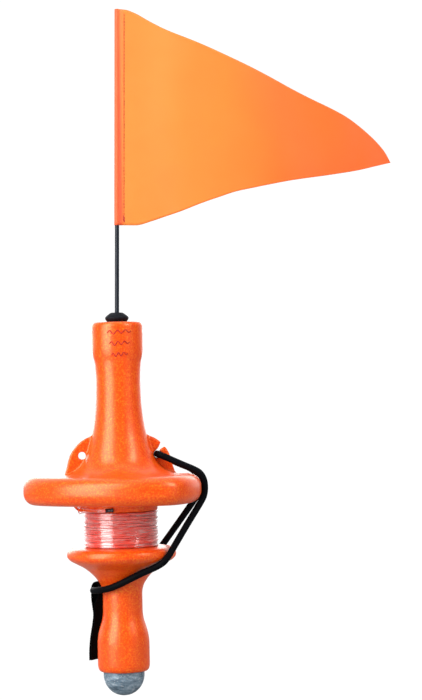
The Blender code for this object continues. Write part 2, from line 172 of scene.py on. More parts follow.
def area_light(name, place, target, size, power, glossy=True):
    data = bpy.data.lights.new(name, "AREA")
    data.shape = "RECTANGLE"
    data.size, data.size_y = size
    data.energy = power
    light = bpy.data.objects.new(name, data)
    light.visible_glossy = glossy
    light.location = place
    light.rotation_mode = "QUATERNION"
    light.rotation_quaternion = (Vector(target) - Vector(place)).to_track_quat("-Z", "Y")
    bpy.context.scene.collection.objects.link(light)


def around(azimuth, distance, height):
    """A point round the float: azimuth 0 is towards the camera's side, positive to the right."""
    angle = math.radians(azimuth)
    return (distance * math.sin(angle), -distance * math.cos(angle), height)


def seen_apart(tree, lit, seen, output):
    """One shader for light and reflections, and another for what the camera sees directly."""
    path = tree.nodes.new("ShaderNodeLightPath")
    mix = tree.nodes.new("ShaderNodeMixShader")
    tree.links.new(path.outputs["Is Camera Ray"], mix.inputs["Fac"])
    tree.links.new(lit.outputs[0], mix.inputs[1])
    tree.links.new(seen.outputs[0], mix.inputs[2])
    tree.links.new(mix.outputs[0], tree.nodes[output].inputs["Surface"])


def make_room():
    """A white room, dark on the viewer's side so that the moulding's front isn't washed out."""
    world = bpy.data.worlds.new("white_room")
    bpy.context.scene.world = world
    world.use_nodes = True
    nodes, links = world.node_tree.nodes, world.node_tree.links
    background = nodes["Background"]
    background.inputs["Color"].default_value = (1, 1, 1, 1)
    direction = nodes.new("ShaderNodeTexCoord")
    axes = nodes.new("ShaderNodeSeparateXYZ")
    links.new(direction.outputs["Generated"], axes.inputs["Vector"])
    behind = nodes.new("ShaderNodeMapRange")
    behind.interpolation_type = "SMOOTHSTEP"
    behind.inputs["From Min"].default_value = 0.1
    behind.inputs["From Max"].default_value = 0.9
    behind.inputs["To Min"].default_value = ROOM_FRONT
    behind.inputs["To Max"].default_value = ROOM_BACK
    links.new(axes.outputs["Y"], behind.inputs["Value"])
    links.new(behind.outputs["Result"], background.inputs["Strength"])
    seen = nodes.new("ShaderNodeBackground")
    seen.inputs["Color"].default_value = (1, 1, 1, 1)
    seen.inputs["Strength"].default_value = PAPER_WHITE
    seen_apart(world.node_tree, background, seen, "World Output")


def make_light():
    area_light("softbox_left", around(-53, 1.1, 0.25), (0, 0, 0.05), (0.75, 2.4), 34.0)
    area_light("softbox_right", around(48, 1.3, 1.05), (0, 0, 0.0), (0.28, 0.85), 10.0)
    area_light("fill", around(50, 1.8, 0.5), (0, 0, 0.1), (1.2, 1.2), 10.0, False)
    area_light("overhead", (0.1, 0.1, 1.5), (0, 0, 0), (1.2, 1.2), 5.0)
    area_light("behind", around(180, 1.5, 0.35), (0, 0, 0.05), (1.6, 0.5), 8.0)
    bpy.context.scene.view_settings.view_transform = "Standard"


def make_floor():
    bm = bmesh.new()
    bmesh.ops.create_grid(bm, x_segments=8, y_segments=8, size=6.0)
    for vert in bm.verts:
        vert.co.z = cad_low.z - 2 * MM
    obj = new_object("studio_floor", bm)
    made = bpy.data.materials.new("studio_floor")
    made.use_nodes = True
    shader = made.node_tree.nodes["Principled BSDF"]
    shader.inputs["Base Color"].default_value = (0.3, 0.3, 0.3, 1)
    shader.inputs["Roughness"].default_value = 0.9
    white = made.node_tree.nodes.new("ShaderNodeEmission")
    white.inputs["Strength"].default_value = PAPER_WHITE
    seen_apart(made.node_tree, shader, white, "Material Output")
    obj.data.materials.append(made)


# ---------------------------------------------------------------- mesh helpers


def scaled(points):
    """Points written in millimetres, in metres."""
    return [tuple(value * MM for value in point) for point in points]


def new_object(name, bm):
    mesh = bpy.data.meshes.new(name)
    bm.to_mesh(mesh)
    bm.free()
    obj = bpy.data.objects.new(name, mesh)
    bpy.context.scene.collection.objects.link(obj)
    mesh.shade_smooth()
    return obj


def placed(obj, matrix):
    """The object's mesh moved by matrix, so that it is drawn in the model's frame."""
    obj.data.transform(matrix)
    return obj


def evaluated(obj):
    """The object with its modifiers applied."""
    graph = bpy.context.evaluated_depsgraph_get()
    mesh = bpy.data.meshes.new_from_object(obj.evaluated_get(graph))
    obj.modifiers.clear()
    old = obj.data
    obj.data = mesh
    bpy.data.meshes.remove(old)
    return obj


def skin(name, rings, closed=False, caps=True):
    """A surface over rings of points. Closed joins the last ring to the first."""
    bm = bmesh.new()
    rows = [[bm.verts.new(p) for p in ring] for ring in rings]
    pairs = list(zip(rows, rows[1:]))
    if closed:
        pairs.append((rows[-1], rows[0]))
    for upper, lower in pairs:
        for i, vert in enumerate(upper):
            j = (i + 1) % len(upper)
            bm.faces.new((vert, upper[j], lower[j], lower[i]))
    if caps and not closed:
        bm.faces.new(rows[0])
        bm.faces.new(rows[-1])
    bmesh.ops.remove_doubles(bm, verts=bm.verts, dist=0.001 * MM)
    bmesh.ops.recalc_face_normals(bm, faces=bm.faces)
    return new_object(name, bm)


def tangent_at(line, i):
    return (line[min(i + 1, len(line) - 1)] - line[max(i - 1, 0)]).normalized()


def smooth_line(points, step):
    """Points about step apart on a smooth curve through the given ones."""
    points = [Vector(p) for p in points]
    padded = [2 * points[0] - points[1], *points, 2 * points[-1] - points[-2]]
    fine = [points[0]]
    for a, b, c, d in zip(padded, padded[1:], padded[2:], padded[3:]):
        for i in range(1, 17):
            t = i / 16
            place = b * 2 + (c - a) * t + (2 * a - 5 * b + 4 * c - d) * t**2
            fine.append((place + (3 * b - a - 3 * c + d) * t**3) / 2)
    line = np.array(fine)
    along = np.concatenate([[0], np.cumsum(np.linalg.norm(np.diff(line, axis=0), axis=1))])
    at = np.linspace(0, along[-1], max(2, round(along[-1] / step)) + 1)
    return [Vector([np.interp(x, along, line[:, k]) for k in range(3)]) for x in at]


def monotone(levels, steps):
    """Rows of numbers joined by smooth runs that never overshoot them."""
    rows = np.array(levels, float)
    along = np.concatenate([[0], np.cumsum(np.linalg.norm(np.diff(rows[:, :2], axis=0), axis=1))])
    gap = np.diff(along)[:, None]
    slope = np.diff(rows, axis=0) / gap
    tangent = np.zeros_like(rows)
    same = slope[:-1] * slope[1:] > 0
    mean = 2 * slope[:-1] * slope[1:] / np.where(same, slope[:-1] + slope[1:], 1)
    tangent[1:-1] = np.where(same, mean, 0)
    tangent[0], tangent[-1] = slope[0], slope[-1]
    made = []
    for i in range(len(rows) - 1):
        for k in range(steps):
            t = k / steps
            h00, h10 = 2 * t**3 - 3 * t**2 + 1, t**3 - 2 * t**2 + t
            h01, h11 = 3 * t**2 - 2 * t**3, t**3 - t**2
            leaving, arriving = gap[i] * tangent[i], gap[i] * tangent[i + 1]
            made.append(h00 * rows[i] + h10 * leaving + h01 * rows[i + 1] + h11 * arriving)
    return [tuple(row) for row in made] + [tuple(rows[-1])]


def frames(line, start=Vector((0, 0, 1))):
    """(side, up) at each point of a line, turning as little as they can."""
    made = []
    normal = start
    for i in range(len(line)):
        tangent = tangent_at(line, i)
        normal = (normal - tangent * normal.dot(tangent)).normalized()
        made.append((normal, tangent.cross(normal)))
    return made


def tube(name, line, radius, sides, relief=None):
    """A tube along a line. relief gives the height added at an angle round it and a distance along."""
    rings = []
    distance = 0.0
    for i, (point, (side, up)) in enumerate(zip(line, frames(line))):
        if i:
            distance += (point - line[i - 1]).length
        ring = []
        for k in range(sides):
            angle = TWO_PI * k / sides
            reach = radius + (relief(angle, distance) if relief else 0.0)
            ring.append(point + (side * math.cos(angle) + up * math.sin(angle)) * reach)
        rings.append(ring)
    return skin(name, rings)


def turned(name, profile, sides, wobble=None, closed=False):
    """A profile of (radius, height) turned about Z, closed to a point where the radius is nothing."""
    rings = []
    for radius, height in profile:
        ring = []
        for k in range(sides):
            angle = TWO_PI * k / sides
            reach = radius + (wobble(angle, radius, height) if wobble and radius > 0 else 0.0)
            ring.append((reach * math.cos(angle), reach * math.sin(angle), height))
        rings.append(ring)
    return skin(name, rings, closed, caps=profile[0][0] > 0)


def capsules(name, paths, radius):
    """Short lengths of thread, joined into one object."""
    sides = 6
    bm = bmesh.new()
    for path in paths:
        rows = []
        turns = frames(path, Vector((0.3, 0.9, 0.2)))
        for i, (point, (side, up)) in enumerate(zip(path, turns)):
            reach = radius * (0.45 if i in (0, len(path) - 1) else 1.0)
            ring = [TWO_PI * k / sides for k in range(sides)]
            rows.append([bm.verts.new(point + (side * math.cos(a) + up * math.sin(a)) * reach) for a in ring])
        for upper, lower in zip(rows, rows[1:]):
            for k in range(sides):
                bm.faces.new((upper[k], upper[(k + 1) % sides], lower[(k + 1) % sides], lower[k]))
        bm.faces.new(rows[0])
        bm.faces.new(rows[-1])
    bmesh.ops.recalc_face_normals(bm, faces=bm.faces)
    return new_object(name, bm)


def rounded_profile(corners, radius, steps):
    """The corners (radius, height) with each inner one rounded."""
    points = [Vector(c) for c in corners]
    made = [points[0]]
    for before, here, after in zip(points, points[1:], points[2:]):
        back, on = before - here, after - here
        cut = min(radius, back.length * 0.45, on.length * 0.45)
        start, end = here + back.normalized() * cut, here + on.normalized() * cut
        for k in range(steps + 1):
            t = k / steps
            made.append(start * (1 - t) ** 2 + here * (2 * t * (1 - t)) + end * t**2)
    made.append(points[-1])
    return [(p.x, p.y) for p in made]


def plate(name, outlines, thickness):
    """A flat solid from closed outlines in the XZ plane, the first one outside and the rest holes."""
    curve = bpy.data.curves.new(name, "CURVE")
    curve.dimensions = "2D"
    curve.fill_mode = "BOTH"
    curve.extrude = thickness / 2
    for outline in outlines:
        spline = curve.splines.new("POLY")
        spline.points.add(len(outline) - 1)
        for target, (x, z) in zip(spline.points, outline):
            target.co = (x, z, 0, 1)
        spline.use_cyclic_u = True
    obj = bpy.data.objects.new(name, curve)
    bpy.context.scene.collection.objects.link(obj)
    bpy.context.view_layer.update()
    mesh = bpy.data.meshes.new_from_object(obj.evaluated_get(bpy.context.evaluated_depsgraph_get()))
    bpy.data.objects.remove(obj)
    bm = bmesh.new()
    bm.from_mesh(mesh)
    bpy.data.meshes.remove(mesh)
    bmesh.ops.remove_doubles(bm, verts=bm.verts, dist=0.001 * MM)
    bmesh.ops.rotate(bm, verts=bm.verts, matrix=Matrix.Rotation(math.radians(90), 3, "X"))
    bmesh.ops.recalc_face_normals(bm, faces=bm.faces)
    return new_object(name, bm)


def boolean(obj, other, operation):
    modifier = obj.modifiers.new(other.name, "BOOLEAN")
    modifier.operation = operation
    modifier.object = other


def remove(*objects):
    for obj in objects:
        bpy.data.objects.remove(obj)


def circle(centre, radius, count):
    angles = [TWO_PI * k / count for k in range(count)]
    return [(centre[0] + radius * math.cos(a), centre[1] + radius * math.sin(a)) for a in angles]


def finish_piece(obj, made, body, slot, *nodes):
    """The piece's material, body and CAD nodes; the slot is not used. A piece that bends across a joint has no
    body here.
    """
    obj.data.materials.clear()
    obj.data.materials.append(made)
    if body:
        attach(obj, body)
    if nodes:
        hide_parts(*nodes)
    return obj


# ---------------------------------------------------------------- materials


class Finish:
    """A Principled material with helpers for its colour mix and its bump."""

    def __init__(self, name, colour, roughness, **sockets):
        self.material = bpy.data.materials.new(name)
        self.material.use_nodes = True
        self.nodes = self.material.node_tree.nodes
        self.links = self.material.node_tree.links
        self.shader = self.nodes["Principled BSDF"]
        self.shader.inputs["Base Color"].default_value = (*colour, 1)
        self.shader.inputs["Roughness"].default_value = roughness
        for socket, value in sockets.items():
            self.shader.inputs[socket.replace("_", " ")].default_value = value
        self.place = self.nodes.new("ShaderNodeTexCoord").outputs["Object"]
        self.normal = None

    def stretched(self, scale):
        mapping = self.nodes.new("ShaderNodeMapping")
        mapping.inputs["Scale"].default_value = scale
        self.links.new(self.place, mapping.inputs["Vector"])
        return mapping.outputs["Vector"]

    def noise(self, grain, detail=2.0, rough=0.5, stretch=(1, 1, 1)):
        node = self.nodes.new("ShaderNodeTexNoise")
        node.inputs["Scale"].default_value = 1 / grain
        node.inputs["Detail"].default_value = detail
        node.inputs["Roughness"].default_value = rough
        self.links.new(self.stretched(stretch), node.inputs["Vector"])
        return node.outputs["Fac"]

    def wave(self, width, direction):
        """Bands about a width apart: the wave texture repeats every pi / 10 at a scale of 1."""
        node = self.nodes.new("ShaderNodeTexWave")
        node.bands_direction = direction
        node.inputs["Scale"].default_value = 0.314 / width
        self.links.new(self.place, node.inputs["Vector"])
        return node.outputs["Fac"]

    def ramp(self, fac, stops):
        node = self.nodes.new("ShaderNodeValToRGB")
        elements = node.color_ramp.elements
        while len(elements) < len(stops):
            elements.new(0.5)
        for element, (at, colour) in zip(elements, stops):
            element.position = at
            element.color = (*colour, 1)
        self.links.new(fac, node.inputs["Fac"])
        return node.outputs["Color"]

    def mix(self, fac, first, second, blend="MIX"):
        """Two colours mixed: inputs 6 and 7 and output 2 are the Mix node's colour sockets."""
        node = self.nodes.new("ShaderNodeMix")
        node.data_type = "RGBA"
        node.blend_type = blend
        for socket, value in ((node.inputs[0], fac), (node.inputs[6], first), (node.inputs[7], second)):
            if isinstance(value, (float, int)):
                socket.default_value = value
            elif isinstance(value, tuple):
                socket.default_value = (*value, 1)
            else:
                self.links.new(value, socket)
        return node.outputs[2]

    def colour(self, output):
        self.links.new(output, self.shader.inputs["Base Color"])

    def roughness(self, fac, low, high):
        node = self.nodes.new("ShaderNodeMapRange")
        node.inputs["To Min"].default_value = low
        node.inputs["To Max"].default_value = high
        self.links.new(fac, node.inputs["Value"])
        self.links.new(node.outputs["Result"], self.shader.inputs["Roughness"])

    def bump(self, height, depth, strength=1.0):
        node = self.nodes.new("ShaderNodeBump")
        node.inputs["Distance"].default_value = depth
        node.inputs["Strength"].default_value = strength
        self.links.new(height, node.inputs["Height"])
        if self.normal:
            self.links.new(self.normal, node.inputs["Normal"])
        self.normal = node.outputs["Normal"]
        self.links.new(self.normal, self.shader.inputs["Normal"])


def speckled_plastic():
    made = Finish("speckled_plastic", (0.95, 0.1, 0.005), 0.3, IOR=1.72, Specular_Tint=(1.0, 0.84, 0.5, 1.0))
    grains = made.noise(1.6 * MM, 2.0, 0.6)
    speckle = made.ramp(grains, [
        (0.34, (0.86, 0.044, 0.001)), (0.46, (0.94, 0.073, 0.002)), (0.55, (0.97, 0.1, 0.004)),
        (0.68, (1.0, 0.2, 0.01)),
    ])
    dots = made.ramp(made.noise(0.8 * MM, 1.0), [(0.62, (0, 0, 0)), (0.76, (0.45, 0.45, 0.45))])
    cloudy = made.noise(24 * MM, 3.0)
    clouds = made.ramp(cloudy, [(0.4, (0, 0, 0)), (0.7, (0.3, 0.3, 0.3))])
    shaded = made.mix(clouds, speckle, (0.9, 0.075, 0.003))
    made.colour(made.mix(dots, shaded, (1.0, 0.3, 0.03)))
    made.roughness(made.noise(5 * MM, 4.0), 0.28, 0.38)
    made.bump(made.noise(2.4 * MM, 2.0), 0.06 * MM, 0.5)
    made.bump(made.noise(0.5 * MM, 2.0), 0.02 * MM, 0.35)
    return made.material


def engraving_ink():
    made = Finish("engraved_stroke", (0.5, 0.022, 0.005), 0.7)
    made.colour(made.ramp(made.noise(0.8 * MM), [(0.35, (0.38, 0.015, 0.003)), (0.65, (0.62, 0.03, 0.006))]))
    made.bump(made.noise(0.3 * MM), 0.05 * MM)
    return made.material


def rubber():
    made = Finish("moulded_rubber", (0.008, 0.009, 0.012), 0.5, Specular_IOR_Level=0.1)
    bloom = made.noise(3 * MM, 3.0)
    made.colour(made.ramp(bloom, [(0.3, (0.005, 0.006, 0.008)), (0.7, (0.012, 0.013, 0.018))]))
    made.roughness(made.noise(2 * MM), 0.42, 0.66)
    made.bump(made.noise(0.4 * MM, 3.0), 0.03 * MM, 0.6)
    return made.material


def rod_fibre():
    made = Finish("rod_fibre", (0.008, 0.012, 0.02), 0.3, Specular_IOR_Level=0.35)
    streaks = made.noise(0.5 * MM, 3.0, 0.6, (1, 1, 0.02))
    made.colour(made.ramp(streaks, [(0.35, (0.005, 0.008, 0.013)), (0.7, (0.018, 0.024, 0.036))]))
    made.roughness(streaks, 0.24, 0.42)
    made.bump(streaks, 0.02 * MM, 0.5)
    return made.material


def flag_cloth():
    made = Finish("flag_cloth", (1.0, 0.27, 0.05), 0.5, Sheen_Weight=0.25, Sheen_Roughness=0.4)
    warp = made.wave(0.55 * MM, "X")
    weft = made.wave(0.55 * MM, "Z")
    weave = made.mix(0.5, warp, weft)
    position = made.nodes.new("ShaderNodeSeparateXYZ")
    made.links.new(made.place, position.inputs["Vector"])
    across = made.nodes.new("ShaderNodeMapRange")
    across.inputs["From Max"].default_value = FLAG_REACH
    made.links.new(position.outputs["X"], across.inputs["Value"])
    # Across the flag: deeper red on the sleeve round the rod, then orange that gets deeper and darker towards
    # the tip. The darkening towards the tip is painted shade, for the cloth turning away from the light.
    sleeve_band_and_painted_shade = made.ramp(across.outputs["Result"], [
        (0.0, (1.0, 0.13, 0.03)), (0.024, (1.0, 0.13, 0.03)), (0.034, (1.0, 0.27, 0.04)),
        (0.4, (1.0, 0.24, 0.028)), (0.6, (1.0, 0.17, 0.014)), (1.0, (1.0, 0.14, 0.008)),
    ])
    blotch = made.ramp(made.noise(60 * MM, 3.0), [(0.3, (0.93, 0.9, 0.85)), (0.7, (1.0, 1.0, 1.0))])
    toned = made.mix(1.0, sleeve_band_and_painted_shade, blotch, "MULTIPLY")
    threads = made.ramp(weave, [(0.2, (0.95, 0.93, 0.9)), (0.8, (1, 1, 1))])
    made.colour(made.mix(1.0, toned, threads, "MULTIPLY"))
    made.roughness(made.noise(12 * MM, 4.0), 0.42, 0.6)
    made.bump(weave, 0.05 * MM, 0.35)
    made.bump(made.noise(26 * MM, 2.0), 0.8 * MM, 0.22)
    return made.material


def thread(name, dark, light):
    made = Finish(name, light, 0.6, Sheen_Weight=0.3)
    ply = made.wave(0.35 * MM, "DIAGONAL")
    made.colour(made.ramp(ply, [(0.2, dark), (0.8, light)]))
    made.bump(ply, 0.06 * MM, 0.7)
    return made.material


def monofilament():
    """Clear line over a red barrel: red, deeper on the inner turns, with pale streaks painted on as highlights
    where strands catch the light.
    """
    made = Finish(
        "monofilament", (1.0, 0.2, 0.12), 0.25, IOR=2.0, Coat_Weight=1.0, Coat_IOR=3.4, Coat_Roughness=0.18,
        Sheen_Weight=0.7, Sheen_Roughness=0.25,
    )
    flat = made.nodes.new("ShaderNodeVectorMath")
    flat.operation = "MULTIPLY"
    flat.inputs[1].default_value = (1, 1, 0)
    made.links.new(made.place, flat.inputs[0])
    reach = made.nodes.new("ShaderNodeVectorMath")
    reach.operation = "LENGTH"
    made.links.new(flat.outputs["Vector"], reach.inputs[0])
    depth = made.nodes.new("ShaderNodeMapRange")
    depth.inputs["From Min"].default_value = WINDING_RADIUS - 0.9 * MM
    depth.inputs["From Max"].default_value = WINDING_RADIUS + 0.7 * MM
    made.links.new(reach.outputs["Value"], depth.inputs["Value"])
    tint = made.ramp(depth.outputs["Result"], [
        (0.0, (0.85, 0.02, 0.006)), (0.5, (1.0, 0.04, 0.015)), (1.0, (1.0, 0.08, 0.035)),
    ])
    # Pale streaks along the strands are a painted highlight: the glints of light on the outer turns, put into
    # the base colour.
    strands = made.noise(2.6 * MM, 3.0, 0.6, (0.25, 0.25, 2.2))
    painted_glints = made.ramp(strands, [(0.52, (0, 0, 0)), (0.7, (0.6, 0.6, 0.6))])
    made.colour(made.mix(painted_glints, tint, (1.0, 0.86, 0.82)))
    made.bump(made.noise(0.6 * MM, 2.0), 0.02 * MM, 0.4)
    return made.material


def crimp_metal():
    made = Finish("crimp_metal", (0.03, 0.03, 0.034), 0.35, Metallic=0.7)
    tarnish = made.noise(1.2 * MM, 3.0)
    made.colour(made.ramp(tarnish, [(0.35, (0.018, 0.018, 0.02)), (0.72, (0.09, 0.09, 0.1))]))
    made.roughness(made.noise(1.5 * MM), 0.25, 0.5)
    made.bump(made.noise(0.5 * MM, 3.0), 0.03 * MM, 0.6)
    return made.material


def cast_lead():
    made = Finish("cast_lead", (0.1, 0.13, 0.17), 0.45, Metallic=0.4)
    mottled = made.noise(5.5 * MM, 5.0, 0.6, (0.6, 0.6, 1.5))
    skin_tone = made.ramp(mottled, [
        (0.34, (0.09, 0.14, 0.19)), (0.47, (0.2, 0.29, 0.37)), (0.58, (0.31, 0.42, 0.51)),
        (0.68, (0.6, 0.7, 0.78)),
    ])
    flecks = made.ramp(made.noise(1.1 * MM, 2.0, 0.5, (0.5, 0.5, 1.6)), [(0.62, (0, 0, 0)), (0.7, (1, 1, 1))])
    made.colour(made.mix(flecks, skin_tone, (0.6, 0.66, 0.7)))
    made.roughness(mottled, 0.32, 0.6)
    made.bump(made.noise(4 * MM, 4.0), 0.35 * MM, 0.6)
    made.bump(made.noise(0.8 * MM, 2.0), 0.08 * MM, 0.5)
    return made.material


def cord_fabric():
    made = Finish("cord_braid", (0.004, 0.005, 0.006), 0.5, Specular_IOR_Level=0.04)
    fibres = made.noise(0.5 * MM, 3.0)
    made.colour(made.ramp(fibres, [(0.3, (0.0015, 0.0018, 0.0025)), (0.7, (0.005, 0.006, 0.008))]))
    made.bump(fibres, 0.05 * MM, 0.6)
    return made.material


def webbing_fabric():
    made = Finish("webbing_weave", (0.003, 0.003, 0.004), 0.8, Specular_IOR_Level=0.03)
    picks = made.wave(1.1 * MM, "Z")
    made.colour(made.ramp(picks, [(0.2, (0.001, 0.001, 0.0014)), (0.8, (0.005, 0.005, 0.006))]))
    made.bump(picks, 0.12 * MM, 0.6)
    made.bump(made.noise(0.5 * MM, 2.0), 0.05 * MM, 0.5)
    return made.material


# ---------------------------------------------------------------- float body


def body_ring(height, radius, lobe):
    """One level of the float: a circle, or where lobe is above 0 a triangle with round corners."""
    points = []
    for k in range(BODY_SIDES):
        angle = TWO_PI * k / BODY_SIDES
        swing = 3 * (angle - math.pi)
        reach = radius + lobe * math.cos(swing)
        slope = -3 * lobe * math.sin(swing)
        x = reach * math.cos(angle) - slope * math.sin(angle)
        y = reach * math.sin(angle) + slope * math.cos(angle)
        points.append((x, y, height))
    return points


def rim_levels():
    centre = RIM_RADIUS - RIM_ROUND
    levels = []
    for side, turns in ((1, range(90, -1, -10)), (-1, range(0, 91, 10))):
        for degrees in turns:
            angle = math.radians(degrees)
            height = side * (RIM_HALF_FLAT + RIM_ROUND * math.sin(angle))
            levels.append((height, centre + RIM_ROUND * math.cos(angle), RIM_LOBE))
    return levels


def round_levels(points):
    """Levels (height, radius, lobe) with no lobe, from (height, radius) in millimetres."""
    return [(height * MM, radius * MM, 0.0) for height, radius in points]


def body_levels():
    recess = [(BUSH_SEAT, 0.0, 0.0), (BUSH_SEAT, BUSH_HOLE, 0.0), (TOP, BUSH_HOLE, 0.0)]
    crown = round_levels([(149.9, 19.6), (149.6, 21.1), (148.4, 22.3), (146.3, 23)])
    upper = round_levels([
        (146.3, 23), (127, 22.9), (121, 22.3), (114, 20.8), (98, 19.9), (80, 20.3), (68, 21.3), (59, 22.5),
        (50, 24.3), (42, 26.5), (35, 28.5), (29, 30.6), (24, 33.3), (19.4, 37.4), (15.6, 43.6),
    ]) + scaled([(13.2, 53, 1.6), (12.6, 69, 7.3)])
    under = scaled([(-12.6, 52, 2)]) + round_levels([
        (-12.6, 36), (-13.2, 34), (-14.6, 33.1), (-18.8, 33), (-19.6, 32.2), (-19.6, 28),
    ])
    barrel = round_levels([(-20.6, 28), (-50.4, 28), (-51.3, 29)])
    lower = round_levels([
        (-51.6, 41), (-53, 46), (-55.8, 48.6), (-59, 49), (-62.4, 47), (-66.2, 40.6), (-69.9, 33.8),
        (-73.6, 29.1), (-77.5, 25), (-82, 21.6), (-86.5, 19.1), (-93, 17.8), (-109, 17.8), (-116, 18.6),
        (-122, 20.4), (-130, 22.5), (-138, 23.3), (-157.5, 23.3),
    ])
    foot = round_levels([
        (-160.6, 22.7), (-162.4, 21.4), (-163, 20.2), (-163, 19.5), (-162.4, 18.9), (-148, 18.8), (-148, 0),
    ])
    grip, handle = monotone(upper, 6), monotone(lower, 5)
    return recess + crown + grip[1:-1] + rim_levels() + under + barrel + handle + foot


def ear_outline(side):
    edge = scaled([
        (23.6, 49.5), (27.2, 47.4), (31.3, 45.7), (34.6, 43.5), (37.8, 40.8), (40.6, 37.7),
        (43.2, 34.1), (45.2, 30), (46.6, 25.6), (47.7, 20.5), (49.4, 15.6), (50.5, 11),
    ])
    root = scaled([(38, 11), (28, 23), (24, 31), (21, 40), (19, 52)])
    fine = smooth_line([(x, 0, z) for x, z in edge], 1.2 * MM)
    return [(side * p.x, p.z) for p in fine] + [(side * x, z) for x, z in root]


def rounded(obj, width):
    """The object with its sharp edges rounded."""
    bevel = obj.modifiers.new("edge", "BEVEL")
    bevel.width = width
    bevel.segments = 3
    bevel.limit_method = "ANGLE"
    bevel.angle_limit = math.radians(50)
    return evaluated(obj)


def ear(name, side):
    eye = circle((side * EYE[0], EYE[1]), EYE_RADIUS, 40)
    return plate(name, [ear_outline(side), eye], EAR_THICKNESS)


def open_hook(ear_plate):
    """The slanted slot that opens the right ear's eye, so that the cord can be lifted out."""
    mouth = scaled([(31.6, 33), (34.7, 36), (36.9, 40.6), (39, 46), (47, 41.5), (39.9, 37.4), (33.6, 32.6)])
    slot = plate("hook_slot", [mouth], 2 * EAR_THICKNESS)
    boolean(ear_plate, slot, "DIFFERENCE")
    evaluated(ear_plate)
    remove(slot)


def tie_off_lug():
    edge = scaled([
        (-43.4, -9), (-43.2, -13), (-42, -15.4), (-40.4, -17.2), (-38.2, -18.9), (-35.6, -19.8),
        (-33.2, -19.3), (-27, -17), (-27, -9),
    ])
    return plate("tie_off_lug", [edge, circle(LUG_HOLE, LUG_HOLE_RADIUS, 24)], LUG_THICKNESS)


def one_skin(body):
    """The joined solids remeshed and relaxed, so that they run into each other as one moulding."""
    remesh = body.modifiers.new("one_skin", "REMESH")
    remesh.mode = "VOXEL"
    remesh.voxel_size = BODY_VOXEL
    remesh.use_smooth_shade = True
    relax = body.modifiers.new("relax", "SMOOTH")
    relax.factor = 0.5
    relax.iterations = 10
    evaluated(body)
    body.data.shade_smooth()


def build_body():
    body = skin("float_body", [body_ring(*level) for level in body_levels()], caps=False)
    left, right, lug = ear("left_ear", -1), ear("right_ear", 1), tie_off_lug()
    open_hook(right)
    for piece, edge in ((left, 1.3 * MM), (right, 1.3 * MM), (lug, 0.8 * MM)):
        rounded(piece, edge)
        boolean(body, piece, "UNION")
    one_skin(body)
    remove(left, right, lug)
    finish_piece(body, speckled_plastic(), "float", "speckled_plastic", "float_shell", "foam_core")


def build_engraving():
    """Three short wave strokes, thin tubes set a little into the upper grip's front."""
    grip = sorted((z, radius) for z, radius, _ in body_levels() if z > RIM_ROUND and radius > BUSH_HOLE)
    heights, radii = zip(*grip)
    sunk = 0.1 * MM
    ink = engraving_ink()
    for row in range(3):
        height = (140.0 - 10.0 * row) * MM
        half = (10.5 - 1.7 * row) * MM
        route = []
        for k in range(61):
            share = k / 60
            x = half * (2 * share - 1)
            swell = 1.8 * MM * (1 - 0.4 * share)
            z = height + swell * math.sin(share * TWO_PI * 3) + 1.5 * MM * share
            radius = float(np.interp(z, heights, radii)) - sunk
            route.append(Vector((x, -math.sqrt(radius**2 - x**2), z)))
        stroke = tube(f"wave_stroke_{row + 1}", route, 0.6 * MM, 8)
        finish_piece(stroke, ink, "float", "speckled_plastic")


# ---------------------------------------------------------------- bush, rod, lead


def build_bush():
    corners = [
        (2.05, 158.6), (5.4, 158.6), (9.0, 156), (10.7, 154.3), (10.5, 152.6), (9.4, 151.2),
        (8.6, 149.95), (5.9, 149.95), (5.9, 142), (2.05, 142),
    ]
    profile = rounded_profile(scaled(corners), 1.1 * MM, 6)
    bush = turned("rod_bush", profile, 72, closed=True)
    finish_piece(bush, rubber(), "float", "rubber", "pole_bush")


def build_pole():
    high = SLEEVE_FOOT + SLEEVE_LENGTH - 1.6 * MM
    corners = [(0, high), (POLE_RADIUS, high), (POLE_RADIUS, ROD_FOOT), (0, ROD_FOOT)]
    profile = rounded_profile(corners, 0.6 * MM, 4)
    levels = []
    for (r1, z1), (r2, z2) in zip(profile, profile[1:]):
        count = max(1, round((z1 - z2) / (12 * MM)))
        levels += [(r1 + (r2 - r1) * k / count, z1 + (z2 - z1) * k / count) for k in range(count)]
    pole = turned("rod", levels + [profile[-1]], 32)
    placed(pole, POLE_FRAME)
    finish_piece(pole, rod_fibre(), "pole", "rod", "flag_pole")


def build_lead():
    random.seed(7)
    waves = [(random.randint(2, 7), random.uniform(0, TWO_PI), random.uniform(150, 420)) for _ in range(8)]

    def casting(angle, radius, height):
        """A faint roughness all over and the mould's seam down one side."""
        rough = sum(math.sin(n * angle + phase + height * rate) for n, phase, rate in waves) * 0.03 * MM
        seam = 0.22 * MM * math.exp(-((math.sin(angle - 1.35) / 0.018) ** 2))
        return (rough + seam) * min(1.0, radius / (6 * MM))

    shoulder = LEAD_TOP - 1.0 * MM
    profile = [(0.0, LEAD_TOP), (LEAD_RADIUS - 0.9 * MM, LEAD_TOP), (LEAD_RADIUS, shoulder)]
    profile += [(LEAD_RADIUS, shoulder + (LEAD_CENTRE - shoulder) * k / 8) for k in range(1, 8)]
    for k in range(30):
        angle = math.radians(3 * k)
        profile.append((LEAD_RADIUS * math.cos(angle), LEAD_CENTRE - LEAD_RADIUS * math.sin(angle)))
    profile.append((0.0, LEAD_CENTRE - LEAD_RADIUS))
    lead = turned("lead_foot", profile, 180, casting)
    finish_piece(lead, cast_lead(), "float", "lead", "lead_ballast")


# ---------------------------------------------------------------- line


